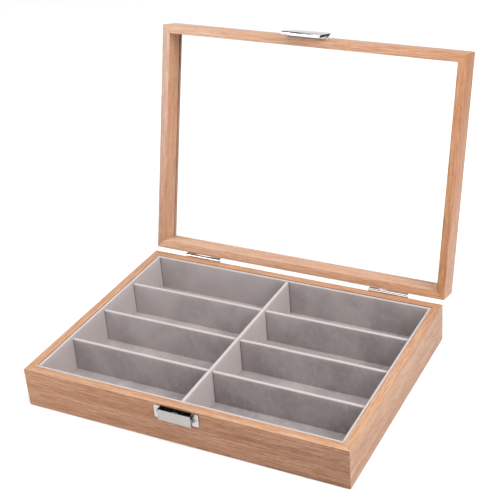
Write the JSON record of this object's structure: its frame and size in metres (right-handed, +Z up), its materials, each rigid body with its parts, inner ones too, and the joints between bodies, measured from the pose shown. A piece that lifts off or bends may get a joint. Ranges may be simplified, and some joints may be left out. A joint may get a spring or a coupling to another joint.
{
  "type": "sunglasses organizer box",
  "caption": "Wood-look display case with velvet-lined slots in two columns, a hinged glazed lid, a rocking hasp and a sprung catch.",
  "frame": {"origin": "centre of the flat underside", "axes": "+X to the right along the front, +Y from the front to the back, +Z up; the lid stands open on its stops at rest"},
  "size_m": [0.34, 0.3475, 0.2969],
  "materials": {
    "wood": "satin oak-look veneer, fine straight grain",
    "panel": "plain board",
    "velvet": "short grey velvet over thin board",
    "glass": "clear, flat",
    "chrome": "polished bright plating",
    "spring": "drawn wire"
  },
  "bodies": {
    "case": {"case_front": "wood", "case_back": "wood", "case_left": "wood", "case_right": "wood", "bottom_panel": "panel", "floor_pad": "velvet", "liner_front": "velvet", "liner_back": "velvet", "liner_left": "velvet", "liner_right": "velvet", "divider_centre": "velvet", "divider_cross_1": "velvet", "divider_cross_2": "velvet", "divider_cross_3": "velvet", "hinge_case_leaf_left": "chrome", "hinge_case_leaf_right": "chrome", "hinge_pin_left": "chrome", "hinge_pin_right": "chrome", "hinge_screws_case": "chrome", "catch_base_plate": "chrome", "catch_pin": "chrome", "catch_spring": "spring", "catch_screws": "chrome"},
    "lid": {"lid_front_rail": "wood", "lid_back_rail": "wood", "lid_left_stile": "wood", "lid_right_stile": "wood", "lid_glass": "glass", "hinge_lid_leaf_left": "chrome", "hinge_lid_leaf_right": "chrome", "hinge_screws_lid": "chrome", "hasp_base_plate": "chrome", "hasp_pin": "chrome", "hasp_screws": "chrome"},
    "hasp": {"hasp": "chrome"},
    "catch_lever": {"catch_lever": "chrome"}
  },
  "joints": [
    {"name": "lid_hinge", "type": "hinge", "parent": "case", "child": "lid", "pos_m": [0, 0.1277, 0.042], "axis": [1, 0, 0], "range_deg": [0, 104.4]},
    {"name": "hasp_rock", "type": "hinge", "parent": "lid", "child": "hasp", "pos_m": [0, 0.19502, 0.28809], "axis": [-1, 0, 0], "range_deg": [0, 30]},
    {"name": "catch_lever_tilt", "type": "hinge", "parent": "case", "child": "catch_lever", "pos_m": [0, -0.1279, 0.037], "axis": [1, 0, 0], "range_deg": [0, 12], "stiffness_Nm_per_rad": 0.05, "springref_deg": -17.19, "deforming": ["catch_spring"]}
  ]
}
